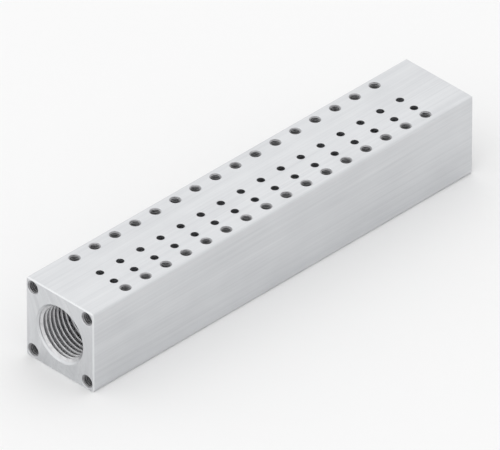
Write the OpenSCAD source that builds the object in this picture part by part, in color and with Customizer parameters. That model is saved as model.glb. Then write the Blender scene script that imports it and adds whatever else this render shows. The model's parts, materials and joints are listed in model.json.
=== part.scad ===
// Manifold block: a square aluminium bar, bored from end to end as one supply channel,
// with a pipe-threaded port at each end and a row of stations along its top face.
// Each station has two tapped screw holes and two air holes that open into the channel.
// The bar lies along X, centred, with its underside at Z = 0 and its stations on top.

/* [Bar] */
// Width and height of the square bar
bar_side = 32; // [31:0.5:45]
// Radius along the four long edges
long_edge_r = 1.2; // [0.5:0.1:2]
// Chamfer round both end faces
end_chamfer = 0.4; // [0.1:0.1:0.8]

/* [Stations] */
// Number of stations along the top face
station_count = 16; // [1:1:24]
// Distance from one station to the next
station_pitch = 9.5; // [8:0.5:20]
// Distance from each end face to the middle of the nearest station
end_margin = 19; // [19:0.5:40]

/* [Station screw holes] */
// Distance between the two rows of screw holes
station_screw_span = 24.2; // [23.6:0.1:25]
// Outside diameter of the screw thread
station_screw_d = 4; // [3.6:0.1:4.2]
// Core drill under the thread
station_core_d = 3.3; // [2.8:0.1:3.5]
// Depth of full thread
station_thread_depth = 8; // [4:0.5:9.5]
// Depth of the core drill, without its point
station_drill_depth = 10; // [10:0.5:12]

/* [Air holes] */
// Diameter of the two plain holes of each station
air_hole_d = 2.8; // [1:0.1:3]
// Distance of the second air hole from the bar's centre line, towards the front
air_hole_offset = 6.65; // [4:0.05:7]

/* [Supply channel] */
// Diameter of the bore that joins the two ports
channel_d = 18; // [17.5:0.1:18.5]

/* [End ports] */
// Outside diameter of the port's pipe thread
port_d = 20.955; // [20:0.005:21.5]
// Core drill under the pipe thread
port_core_d = 19; // [18.6:0.1:19.2]
// Depth of full thread
port_thread_depth = 15; // [10:0.5:15]
// Depth of the core drill
port_drill_depth = 17; // [17:0.5:18]
// Diameter of the countersink at the end face
port_mouth_d = 22.3; // [22:0.1:24]

/* [End screw holes] */
// Distance between neighbouring holes of the four at each end
end_screw_span = 25.6; // [25:0.1:25.8]
// Outside diameter of the screw thread
end_screw_d = 5; // [4.6:0.1:5.2]
// Core drill under the thread
end_core_d = 4.2; // [3.6:0.1:4.4]
// Depth of full thread
end_thread_depth = 10; // [5:0.5:12]
// Depth of the core drill, without its point
end_drill_depth = 13; // [13:0.5:14]

/* [Edges of the drilled holes] */
// Width of the 45 degree chamfer at the mouth of each screw hole and air hole
hole_chamfer = 0.15; // [0.05:0.05:0.3]
// Angle of the drill points
drill_point_angle = 118; // [90:1:140]

/* [Hidden] */
bar_length = (station_count - 1) * station_pitch + 2 * end_margin;
channel_z = bar_side / 2;
rows = [-station_screw_span / 2, station_screw_span / 2];
ends = [-1, 1];
// How far each cutting shape stands out of the face that it is cut into
proud = 1;
$fn = 96;

// Section of the bar: a square with round corners, as two bands and four corner discs
module section() {
    flat = bar_side - 2 * long_edge_r;
    square([bar_side, flat], center = true);
    square([flat, bar_side], center = true);
    for (x = [-flat / 2, flat / 2], y = [-flat / 2, flat / 2])
        translate([x, y]) circle(r = long_edge_r);
}

// The sawn bar, with the edges of both end faces chamfered
module bar() {
    difference() {
        translate([-bar_length / 2, 0, channel_z])
            rotate([0, 90, 0]) linear_extrude(bar_length) section();
        for (end = ends, turn = [0 : 90 : 270])
            translate([end * bar_length / 2, 0, channel_z]) rotate([turn, 0, 0]) end_edge_cut();
    }
}

// What the chamfer takes off one edge of an end face, both ends alike
module end_edge_cut() {
    side = sqrt(2) * end_chamfer;
    translate([0, 0, bar_side / 2]) rotate([0, 45, 0]) cube([side, bar_side + 2 * proud, side], center = true);
}

// A screw hole going down from Z = 0: chamfered mouth, thread at its outside diameter,
// the thread's run-out, then the core drill and its point
module tapped_hole(thread_d, core_d, thread_depth, drill_depth) {
    thread_r = thread_d / 2;
    core_r = core_d / 2;
    point = core_r / tan(drill_point_angle / 2);
    rotate_extrude() polygon([
        [0, proud],
        [thread_r + hole_chamfer + proud, proud],
        [thread_r, -hole_chamfer],
        [thread_r, -thread_depth],
        [core_r, -thread_depth - (thread_r - core_r)],
        [core_r, -drill_depth],
        [0, -drill_depth - point]
    ]);
}

// An air hole going down from Z = 0, chamfered at its mouth, as deep as the channel's axis
module air_hole() {
    hole_r = air_hole_d / 2;
    rotate_extrude() polygon([
        [0, proud],
        [hole_r + hole_chamfer + proud, proud],
        [hole_r, -hole_chamfer],
        [hole_r, -channel_z],
        [0, -channel_z]
    ]);
}

// The port going down from Z = 0: countersink, pipe thread at its outside diameter,
// the thread's run-out, then the core drill and its cone down to the channel
module port() {
    thread_r = port_d / 2;
    core_r = port_core_d / 2;
    channel_r = channel_d / 2;
    mouth_r = port_mouth_d / 2;
    step = (core_r - channel_r) / tan(drill_point_angle / 2);
    rotate_extrude() polygon([
        [0, proud],
        [mouth_r + proud, proud],
        [thread_r, thread_r - mouth_r],
        [thread_r, -port_thread_depth],
        [core_r, -port_thread_depth - (thread_r - core_r)],
        [core_r, -port_drill_depth],
        [channel_r, -port_drill_depth - step],
        [0, -port_drill_depth - step]
    ]);
}

// Everything that is cut in along the top face at one station
module station() {
    for (y = rows)
        translate([0, y, 0])
            tapped_hole(station_screw_d, station_core_d, station_thread_depth, station_drill_depth);
    for (y = [0, -air_hole_offset])
        translate([0, y, 0]) air_hole();
}

// Everything that is cut into one end face, going down from Z = 0
module end_face() {
    port();
    for (x = [-end_screw_span / 2, end_screw_span / 2], y = [-end_screw_span / 2, end_screw_span / 2])
        translate([x, y, 0])
            tapped_hole(end_screw_d, end_core_d, end_thread_depth, end_drill_depth);
}

module manifold_block() {
    color([0.78, 0.79, 0.8])
    difference() {
        bar();
        translate([-bar_length / 2, 0, channel_z]) rotate([0, 90, 0]) cylinder(d = channel_d, h = bar_length);
        for (i = [0 : station_count - 1])
            translate([end_margin - bar_length / 2 + i * station_pitch, 0, bar_side]) station();
        for (end = ends)
            translate([end * bar_length / 2, 0, channel_z]) rotate([0, end * 90, 0]) end_face();
    }
}

manifold_block();
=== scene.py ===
import json
import math

import bmesh
import bpy
from mathutils import Matrix, Vector


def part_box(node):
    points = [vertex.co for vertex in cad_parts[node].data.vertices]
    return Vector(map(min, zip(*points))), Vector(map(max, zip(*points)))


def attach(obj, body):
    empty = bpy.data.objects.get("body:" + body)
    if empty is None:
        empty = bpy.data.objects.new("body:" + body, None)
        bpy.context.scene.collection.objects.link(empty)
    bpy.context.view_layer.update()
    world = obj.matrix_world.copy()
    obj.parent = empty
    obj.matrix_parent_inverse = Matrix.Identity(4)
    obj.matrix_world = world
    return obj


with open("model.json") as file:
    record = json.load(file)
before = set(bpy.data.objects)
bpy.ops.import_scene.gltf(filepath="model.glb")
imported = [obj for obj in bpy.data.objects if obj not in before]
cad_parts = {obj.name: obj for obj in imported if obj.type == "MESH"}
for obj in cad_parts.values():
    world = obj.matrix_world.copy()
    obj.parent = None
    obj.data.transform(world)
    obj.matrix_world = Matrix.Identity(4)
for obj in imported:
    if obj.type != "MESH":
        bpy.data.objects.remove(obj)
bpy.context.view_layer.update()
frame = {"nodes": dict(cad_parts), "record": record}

mm = 0.001  # Sizes below are in millimetres, Blender's units are metres
barNode = "manifold_block"
mounts = {mount["name"]: mount for mount in frame["record"]["mounts"]}
barLow, barHigh = (Vector(corner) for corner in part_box(barNode))
halfLength = (barHigh.x - barLow.x) / 2 / mm
halfSide = (barHigh.y - barLow.y) / 2 / mm
axisHeight = (barHigh.z + barLow.z) / 2 / mm


# One output socket, so that shader maths can be written as Python expressions
class Wire:
    def __init__(self, recipe, socket):
        self.recipe = recipe
        self.socket = socket

    def maths(self, operation, *values):
        return self.recipe.node("ShaderNodeMath", {"operation": operation}, dict(enumerate(values)))

    def __add__(self, other):
        return self.maths("ADD", self, other)

    def __radd__(self, other):
        return self.maths("ADD", other, self)

    def __sub__(self, other):
        return self.maths("SUBTRACT", self, other)

    def __rsub__(self, other):
        return self.maths("SUBTRACT", other, self)

    def __mul__(self, other):
        return self.maths("MULTIPLY", self, other)

    def __rmul__(self, other):
        return self.maths("MULTIPLY", other, self)

    def __gt__(self, other):
        return self.maths("GREATER_THAN", self, other)

    def __lt__(self, other):
        return self.maths("LESS_THAN", self, other)

    def __abs__(self):
        return self.maths("ABSOLUTE", self)

    def most(self, other):
        return self.maths("MAXIMUM", self, other)

    def sine(self):
        return self.maths("SINE", self)

    def root(self):
        return self.maths("SQRT", self)

    def distance(self, other):  # Length of the vector that has these two as its sides
        return (self * self + other * other).root()

    def swing(self, amount):  # A pattern that lies about 0.5 becomes one that lies about 0
        return (self - 0.5) * amount

    def between(self, low, high):  # 0 below low, 1 above high, smooth from one to the other
        values = {"Value": self, "From Min": low, "From Max": high}
        return self.recipe.node("ShaderNodeMapRange", {"interpolation_type": "SMOOTHSTEP"}, values)

    def reaches(self, limit, fade):  # 1 from the limit on, and 0 where it is more than the fade short of it
        return self.between(limit - fade, limit)


# The node tree of one material or world
class Recipe:
    def __init__(self, block):
        block.use_nodes = True
        self.block = block
        self.tree = block.node_tree
        self.tree.nodes.clear()

    # Any node: its type, its settings, then the values or links of its sockets
    def node(self, kind, settings=None, values=None, output=0):
        made = self.tree.nodes.new(kind)
        for name, setting in (settings or {}).items():
            setattr(made, name, setting)
        for name, value in (values or {}).items():
            if isinstance(value, Wire):
                self.tree.links.new(value.socket, made.inputs[name])
            else:
                made.inputs[name].default_value = value
        return Wire(self, made.outputs[output]) if made.outputs else None

    def outputs(self, wire, *names):  # Named outputs of the node that a wire comes from
        return [Wire(self, wire.socket.node.outputs[name]) for name in names]

    def place(self):  # X, Y and Z of the point that is shaded, in millimetres
        point = self.node("ShaderNodeTexCoord", output="Object")
        point = self.node("ShaderNodeVectorMath", {"operation": "SCALE"}, {0: point, "Scale": 1 / mm})
        return self.outputs(self.node("ShaderNodeSeparateXYZ", None, {0: point}), "X", "Y", "Z")

    def noise(self, coordinates, cells, detail, roughness):  # Cells are counted to the millimetre
        x, y, z = (coordinate * count for coordinate, count in zip(coordinates, cells))
        vector = self.node("ShaderNodeCombineXYZ", None, {"X": x, "Y": y, "Z": z})
        values = {"Vector": vector, "Scale": 1.0, "Detail": detail, "Roughness": roughness}
        return self.node("ShaderNodeTexNoise", None, values)

    def blend(self, factor, first, second):  # Two colours, which are sockets 6 and 7
        values = {"Factor": factor, 6: first, 7: second}
        return self.node("ShaderNodeMix", {"data_type": "RGBA"}, values, output=2)

    def metal(self, colour, roughness, marks, strength, relief):  # Marks stand up by the relief
        values = {"Strength": strength, "Distance": relief * mm, "Height": marks}
        bump = self.node("ShaderNodeBump", None, values)
        values = {"Base Color": colour, "Metallic": 1.0, "Roughness": roughness, "Normal": bump}
        return self.finish(self.node("ShaderNodeBsdfPrincipled", None, values))

    def finish(self, shader, kind="ShaderNodeOutputMaterial"):
        self.node(kind, None, {"Surface": shader})
        return self.block


# Natural anodised aluminium: satin, with drawing lines along the bar, milled end faces and turned bores
barFinish = {
    "colour": (0.71, 0.72, 0.734, 1.0),
    "shade": (0.57, 0.58, 0.597, 1.0),  # Where the anodising is a little darker
    "shadeShare": 0.42,  # How far the tone is from colour to shade where no pattern changes it
    "roughness": 0.36,
    "endSmoothness": 0.05,  # By how much the end faces are less rough
    # Where each surface's finish ends, over a short fade
    "edgeRadius": 1.2,  # Along the four long edges
    "facetDepth": 0.04,  # More than the mesh's facets lie inside that radius
    "endDepth": 0.02,  # How far in the finish of the end faces is whole
    "fade": 0.04,
    # The chamfer round both end faces gets a painted highlight, a brighter colour that stands in for the
    # light its edges catch
    "chamfer": 0.4,
    "chamferColour": (0.82, 0.83, 0.84, 1.0),
    "chamferShare": 0.7,  # Share of that painted highlight colour, over the bar's own
    "chamferFade": 0.02,
    # Drawing lines
    "fineLines": {"cells": (0.03, 4.0, 4.0), "detail": 3.0, "roughness": 0.6},
    "broadLines": {"cells": (0.006, 0.8, 0.8), "detail": 4.0, "roughness": 0.55},
    # The milling cutter that faced the ends
    "cutterRadius": 31.0,
    "cutterOffset": -5.0,  # Its centre's height over the bar's axis
    "cutterFeed": 0.56,  # From one of its marks to the next
    "cutterMarks": 0.34,  # How strong these are
    "cutterWander": 0.2,  # How far they stray
    "cutterBands": 0.9,  # How strong the broader bands are
    "unevenness": {"cells": (0.1, 0.12, 0.12), "detail": 3.0, "roughness": 0.5},
    "bands": {"cells": (0.35, 0.02, 0.1), "detail": 2.0, "roughness": 0.6},
    # Rings in the bores, one for each 0.28 mm of feed
    "rings": {"cells": (1 / 0.28, 0.2, 0.02), "detail": 2.0, "roughness": 0.6},
    "boringReach": 12.0,  # Radius about the bar's axis within which the bores run along the bar
    "endReach": 16.0,  # Depth from the end faces within which all holes do
    # How much the clouds of the anodising and the tool marks change the tone and the roughness
    "clouds": {"cells": (0.05, 0.09, 0.09), "detail": 3.0, "roughness": 0.5},
    "cloudTone": 0.5,
    "cloudRoughness": 0.08,
    "markTone": 1.3,
    "markRoughness": 0.16,
    "markStrength": 0.6,
    "relief": 0.014,  # Height of the marks
}


def barMaterial():
    size = barFinish
    recipe = Recipe(bpy.data.materials.new("anodised bar"))
    x, y, z = recipe.place()
    height = z - axisHeight

    # Which surface this point is on
    # Skin is its distance from a square core that lies one edge radius inside the bar's sides
    flat = halfSide - size["edgeRadius"]
    skin = (abs(y) - flat).most(0).distance((abs(height) - flat).most(0))
    onEnd = abs(x).reaches(halfLength - size["endDepth"], size["fade"])
    onSide = (1 - onEnd) * skin.reaches(size["edgeRadius"] - size["facetDepth"], size["fade"])
    inBore = (1 - onEnd) * (1 - onSide)
    atEnd = abs(x).reaches(halfLength - size["chamfer"], size["chamferFade"])
    highlightOnChamfer = atEnd * skin.reaches(size["edgeRadius"] - size["chamfer"], size["fade"])

    # Drawing lines: long and narrow, in a fine and a broad width
    fine = recipe.noise((x, y, height), **size["fineLines"])
    broad = recipe.noise((x, y, height), **size["broadLines"])
    lines = (fine + broad) * 0.5

    # Arcs that the milling cutter leaves on both end faces, fine and in broad bands
    overCentre = height - size["cutterOffset"]
    sweep = y + (size["cutterRadius"] ** 2 - overCentre * overCentre).root()
    unevenness = recipe.noise((x, y, height), **size["unevenness"])
    turns = (sweep + unevenness * size["cutterWander"]) * (2 * math.pi / size["cutterFeed"])
    bands = recipe.noise((sweep, height, x), **size["bands"])
    arcs = turns.sine() * unevenness * size["cutterMarks"] + bands.swing(size["cutterBands"]) + 0.5

    # Rings that the drill and the boring tool leave
    alongBar = (y.distance(height) < size["boringReach"]).most(abs(x) > halfLength - size["endReach"])
    depth = x * alongBar + z * (1 - alongBar)
    rings = recipe.noise((depth, y, z), **size["rings"])

    marks = lines * onSide + arcs * onEnd + rings * inBore
    clouds = recipe.noise((x, y, height), **size["clouds"])
    tone = clouds.swing(size["cloudTone"]) + marks.swing(size["markTone"]) + size["shadeShare"]
    colour = recipe.blend(tone.between(0, 1), size["colour"], size["shade"])
    # Painted highlight: the chamfers round both end faces are blended toward a brighter colour
    colour = recipe.blend(highlightOnChamfer * size["chamferShare"], colour, size["chamferColour"])
    roughness = marks.swing(size["markRoughness"]) + clouds.swing(size["cloudRoughness"])
    roughness = roughness + size["roughness"] - onEnd * size["endSmoothness"]
    return recipe.metal(colour, roughness, marks, size["markStrength"], size["relief"])


bar = frame["nodes"][barNode]
bar.material_slots[0].link = "OBJECT"
bar.material_slots[0].material = barMaterial()
print("Finish of the bar done")

# Cut metal of the port threads
portFinish = {
    "name": "turned thread",
    "colour": (0.70, 0.70, 0.71, 1.0),
    "shade": (0.56, 0.56, 0.57, 1.0),
    "roughness": 0.42,
}
# Painted shade: a darker colour in the small tapped holes, which also have rougher metal than the port
# threads
screwShadedFinish = {
    "name": "tapped thread",
    "colour": (0.46, 0.46, 0.47, 1.0),
    "shade": (0.34, 0.34, 0.35, 1.0),
    "roughness": 0.5,
}
# Marks that the tool leaves on both
chatterMarks = {
    "pattern": {"cells": (0.7, 0.7, 0.7), "detail": 4.0, "roughness": 0.6},
    "colourTo": 0.3,  # Where the pattern is under this, the metal has its own colour
    "shadeFrom": 0.7,  # Where it is over this, its shade
    "roughness": 0.2,
    "strength": 0.5,
    "relief": 0.006,  # Height of the marks
}


def threadMaterial(size):
    recipe = Recipe(bpy.data.materials.new(size["name"]))
    chatter = recipe.noise(recipe.place(), **chatterMarks["pattern"])
    tone = chatter.between(chatterMarks["colourTo"], chatterMarks["shadeFrom"])
    colour = recipe.blend(tone, size["colour"], size["shade"])
    roughness = chatter.swing(chatterMarks["roughness"]) + size["roughness"]
    return recipe.metal(colour, roughness, chatter, chatterMarks["strength"], chatterMarks["relief"])


# Pipe thread of the two ports, 14 turns to the inch
portThread = {
    "pitch": 1.814,
    "halfAngle": 27.5,  # From a flank to the plane square to the axis
    "pitchLine": 0.3202,  # How far inside the outside radius the ridge is half a pitch wide, in pitches
    "crestRadius": 9.52,
    "crestRound": 0.12,  # How much of each corner of the crest is rounded off
    "depth": 15.0,  # Of the full thread, from the face
    "mouthRadius": 11.15,  # Of the countersink, in the face
    "embed": 0.1,  # How far the ridge stands in the wall
    "steps": 144,
}
# Metric thread of the screw holes in the end faces
endThread = {
    "pitch": 0.8,
    "halfAngle": 30,
    "pitchLine": 0.3248,
    "crestRadius": 2.11,
    "crestRound": 0,
    "depth": 10.0,
    "mouthRadius": 2.65,
    "embed": 0.04,
    "steps": 48,
}
# Metric thread of the screw holes in the top face
stationThread = {
    "pitch": 0.7,
    "halfAngle": 30,
    "pitchLine": 0.3248,
    "crestRadius": 1.66,
    "crestRound": 0,
    "depth": 8.0,
    "mouthRadius": 2.15,
    "embed": 0.04,
    "steps": 40,
}
# What all threads share
threadMaking = {
    "mouthGap": 0.025,  # How far under the countersink a ridge is cut off, so the two aren't in one plane
    "turnsAbove": 3,  # How far the cutting cone stands out of the mouth, in pitches
    "crestSegments": 2,
    "pickShare": 0.2,  # Corners within this share of the ridge's height are taken as at one radius
    "mergeWithin": 0.003,
    "smoothAngle": 30,  # In degrees
    "turnEach": 2.4,  # By how much each copy is turned further than the last, in radians
}


def selectOnly(*parts):
    bpy.ops.object.select_all(action="DESELECT")
    for part in parts:
        part.select_set(True)
    bpy.context.view_layer.objects.active = parts[0]


# Selects the corners near a radius, along X, of a mesh that is in edit mode
def pickRadius(part, radius, within):
    bpy.ops.mesh.select_all(action="DESELECT")
    mesh = bmesh.from_edit_mesh(part.data)
    for corner in mesh.verts:
        corner.select_set(abs(corner.co.x - radius * mm) < within * mm)
    mesh.select_flush_mode()
    bmesh.update_edit_mesh(part.data)


# Outline of the ridge at its deepest point, in a plane through the axis
def ridgeOutline(size, baseRadius, deepest, ridgeWidth):
    crestRadius = size["crestRadius"]
    reach = baseRadius - crestRadius
    within = threadMaking["pickShare"] * reach
    bpy.ops.object.select_all(action="DESELECT")
    bpy.ops.mesh.primitive_plane_add(
        size=reach * mm,
        location=((baseRadius + crestRadius) / 2 * mm, 0, deepest * mm),
        rotation=(math.pi / 2, 0, 0),
    )
    ridge = bpy.context.object
    bpy.ops.object.transform_apply(location=True, rotation=True, scale=True)
    bpy.ops.object.mode_set(mode="EDIT")
    for radius in (crestRadius, baseRadius):
        pickRadius(ridge, radius, within)
        bpy.ops.transform.resize(
            value=(1, 1, ridgeWidth(radius) / reach), center_override=(radius * mm, 0, deepest * mm)
        )
    if size["crestRound"]:
        pickRadius(ridge, crestRadius, within)
        bpy.ops.mesh.bevel(
            offset=size["crestRound"] * mm, segments=threadMaking["crestSegments"], affect="VERTICES"
        )
    bpy.ops.mesh.select_all(action="SELECT")
    bpy.ops.mesh.delete(type="ONLY_FACE")
    bpy.ops.object.mode_set(mode="OBJECT")
    return ridge


# Takes off what stands in the countersink
def cutMouth(ridge, size):
    above = threadMaking["turnsAbove"] * size["pitch"]
    coneDepth = size["mouthRadius"] + threadMaking["mouthGap"] + above
    bpy.ops.object.select_all(action="DESELECT")
    bpy.ops.mesh.primitive_cone_add(
        vertices=size["steps"],
        radius1=0,
        radius2=coneDepth * mm,
        depth=coneDepth * mm,
        location=(0, 0, (above - coneDepth / 2) * mm),
    )
    cone = bpy.context.object
    selectOnly(ridge)
    cut = ridge.modifiers.new("Countersink", "BOOLEAN")
    cut.operation = "DIFFERENCE"
    cut.object = cone
    bpy.ops.object.modifier_apply(modifier=cut.name)
    bpy.data.objects.remove(cone)
    bpy.ops.object.mode_set(mode="EDIT")
    bpy.ops.mesh.select_all(action="SELECT")
    bpy.ops.mesh.remove_doubles(threshold=threadMaking["mergeWithin"] * mm)
    bpy.ops.mesh.dissolve_degenerate(threshold=threadMaking["mergeWithin"] * mm)
    bpy.ops.object.mode_set(mode="OBJECT")


# One thread on the Z axis, from its mouth at Z = 0 downwards
def threadRidge(size, wallRadius):
    pitch = size["pitch"]
    baseRadius = wallRadius + size["embed"]
    slope = math.tan(math.radians(size["halfAngle"]))

    def ridgeWidth(radius):
        return pitch / 2 + 2 * (radius - wallRadius + size["pitchLine"] * pitch) * slope

    baseWidth = ridgeWidth(baseRadius)
    deepest = -(size["depth"] + wallRadius - size["crestRadius"] + baseWidth / 2)
    ridge = ridgeOutline(size, baseRadius, deepest, ridgeWidth)
    screw = ridge.modifiers.new("Turns", "SCREW")
    screw.steps = screw.render_steps = size["steps"]
    screw.screw_offset = pitch * mm
    screw.iterations = math.ceil((baseWidth - deepest) / pitch)
    bpy.ops.object.modifier_apply(modifier=screw.name)
    bpy.ops.object.mode_set(mode="EDIT")
    bpy.ops.mesh.select_all(action="SELECT")
    bpy.ops.mesh.fill_holes(sides=0)
    bpy.ops.mesh.select_all(action="SELECT")
    bpy.ops.mesh.normals_make_consistent(inside=False)
    bpy.ops.object.mode_set(mode="OBJECT")
    cutMouth(ridge, size)
    bpy.ops.object.shade_smooth_by_angle(angle=math.radians(threadMaking["smoothAngle"]))
    return ridge


# Copies of a thread at the mouths of some holes, joined into one piece
def threadPiece(name, master, mouths, material):
    copies = []
    for index, (mouth, axis) in enumerate(mouths):
        copy = master.copy()
        copy.data = master.data.copy()
        bpy.context.collection.objects.link(copy)
        outwards = Vector((0, 0, 1)).rotation_difference(axis).to_matrix().to_4x4()
        turned = Matrix.Rotation(threadMaking["turnEach"] * index, 4, "Z")
        copy.matrix_world = Matrix.Translation(mouth) @ outwards @ turned
        copies.append(copy)
    selectOnly(*copies)
    bpy.ops.object.transform_apply(location=True, rotation=True, scale=True)
    if len(copies) > 1:
        bpy.ops.object.join()
    piece = bpy.context.view_layer.objects.active
    piece.name = name
    piece.data.name = name
    piece.data.materials.clear()
    piece.data.materials.append(material)
    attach(piece, "root")
    print(name, "has", len(piece.data.polygons), "faces")


# Where a hole's axis leaves the bar, and that axis
def mouthOf(place, axis):
    axis = Vector(axis)
    place = Vector(place)
    face = max(Vector(corner).dot(axis) for corner in (barLow, barHigh))
    return place + axis * (face - place.dot(axis)), axis


# The screw holes of all stations on one side, -1 for the front and 1 for the back
def stationMouths(side):
    mouths = []
    for name, mount in mounts.items():
        if name.startswith("station_") and name.endswith("_screws"):
            place = Vector(mount["pos_m"])
            place.y += side * mount["dims"]["spacing_y_mm"] / 2 * mm
            mouths.append(mouthOf(place, mount["axis"]))
    return mouths


turnedMetal = threadMaterial(portFinish)
# The tapped threads' darker colour is painted shade in their holes
shadedTappedMetal = threadMaterial(screwShadedFinish)
portMaster = threadRidge(portThread, mounts["near_port"]["dims"]["r_mm"])
endMaster = threadRidge(endThread, mounts["near_end_screw_front_top"]["dims"]["r_mm"])
stationMaster = threadRidge(stationThread, mounts["station_01_screws"]["dims"]["hole_r_mm"])
for end in ("near", "far"):
    port = mounts[end + "_port"]
    threadPiece(end + "_port_thread", portMaster, [mouthOf(port["pos_m"], port["axis"])], turnedMetal)
    screws = [mount for name, mount in mounts.items() if name.startswith(end + "_end_screw_")]
    mouths = [mouthOf(screw["pos_m"], screw["axis"]) for screw in screws]
    threadPiece(end + "_end_threads", endMaster, mouths, shadedTappedMetal)
threadPiece("station_threads_front", stationMaster, stationMouths(-1), shadedTappedMetal)
threadPiece("station_threads_back", stationMaster, stationMouths(1), shadedTappedMetal)
for master in (portMaster, endMaster, stationMaster):
    bpy.data.objects.remove(master)
print("Threads done")

# A pale floor and a bright surround, with the object's shadow kept
studio = {
    "floorSide": 40.0,  # In metres
    "floorColour": (0.935, 0.935, 0.935, 1.0),
    "floorRoughness": 0.9,
    "floorGloss": 0.1,
    "ambient": 0.86,  # What lights the object
    "surround": 0.957,  # What the camera and the metal see
}


def floorMaterial():
    recipe = Recipe(bpy.data.materials.new("pale floor"))
    values = {
        "Base Color": studio["floorColour"],
        "Roughness": studio["floorRoughness"],
        "Specular IOR Level": studio["floorGloss"],
    }
    return recipe.finish(recipe.node("ShaderNodeBsdfPrincipled", None, values))


def studioWorld():
    recipe = Recipe(bpy.data.worlds.new("studio"))
    ray = recipe.node("ShaderNodeLightPath")
    seen, *mirrored = recipe.outputs(ray, "Is Camera Ray", "Is Glossy Ray", "Is Transmission Ray")
    for kind in mirrored:
        seen = seen.most(kind)
    strength = seen * (studio["surround"] - studio["ambient"]) + studio["ambient"]
    shader = recipe.node("ShaderNodeBackground", None, {"Color": (1, 1, 1, 1), "Strength": strength})
    return recipe.finish(shader, "ShaderNodeOutputWorld")


bpy.ops.object.select_all(action="DESELECT")
bpy.ops.mesh.primitive_plane_add(size=studio["floorSide"], location=(0, 0, barLow.z))
floor = bpy.context.object
floor.name = "floor"
floor.data.materials.append(floorMaterial())
bpy.context.scene.world = studioWorld()

# Suns, so that the floor is as bright everywhere. Their spread is in degrees, wide for soft shade
lights = {
    "key": {"from": (-0.40, 0.50, 1.0), "spread": 150, "strength": 0.5},
    "fill": {"from": (-0.8, -0.6, 0.75), "spread": 150, "strength": 0.12},
}
for name, values in lights.items():
    light = bpy.data.lights.new(name, "SUN")
    light.angle = math.radians(values["spread"])
    light.energy = values["strength"]
    holder = bpy.data.objects.new(name, light)
    bpy.context.collection.objects.link(holder)
    holder.rotation_euler = Vector(values["from"]).to_track_quat("Z", "Y").to_euler()
print("Studio done")

# The drawing's isometric view, through a very long lens
view = {
    "azimuth": -45.0,
    "elevation": 35.2644,
    "lens": 1500.0,
    "sensor": 36.0,
    "farthest": 100.0,  # In metres
    "frameWidth": 168.14,  # What the picture's width takes in at the bar's middle
    "aimRight": -0.3,  # From the bar's middle to the middle of the picture
    "aimUp": -0.22,
}


def aimCamera():
    azimuth = math.radians(view["azimuth"])
    elevation = math.radians(view["elevation"])
    back = Vector((
        math.sin(azimuth) * math.cos(elevation),
        -math.cos(azimuth) * math.cos(elevation),
        math.sin(elevation),
    ))
    right = Vector((math.cos(azimuth), math.sin(azimuth), 0))
    up = back.cross(right)
    middle = Vector((0, 0, axisHeight)) + right * view["aimRight"] + up * view["aimUp"]
    camera = bpy.data.objects.new("camera", bpy.data.cameras.new("camera"))
    bpy.context.collection.objects.link(camera)
    camera.data.lens = view["lens"]
    camera.data.sensor_width = view["sensor"]
    camera.data.clip_end = view["farthest"]
    distance = view["frameWidth"] * view["lens"] / view["sensor"]
    camera.location = (middle + back * distance) * mm
    camera.rotation_euler = back.to_track_quat("Z", "Y").to_euler()
    bpy.context.scene.camera = camera


aimCamera()
bpy.context.scene.view_settings.view_transform = "Standard"

print("Scene done")
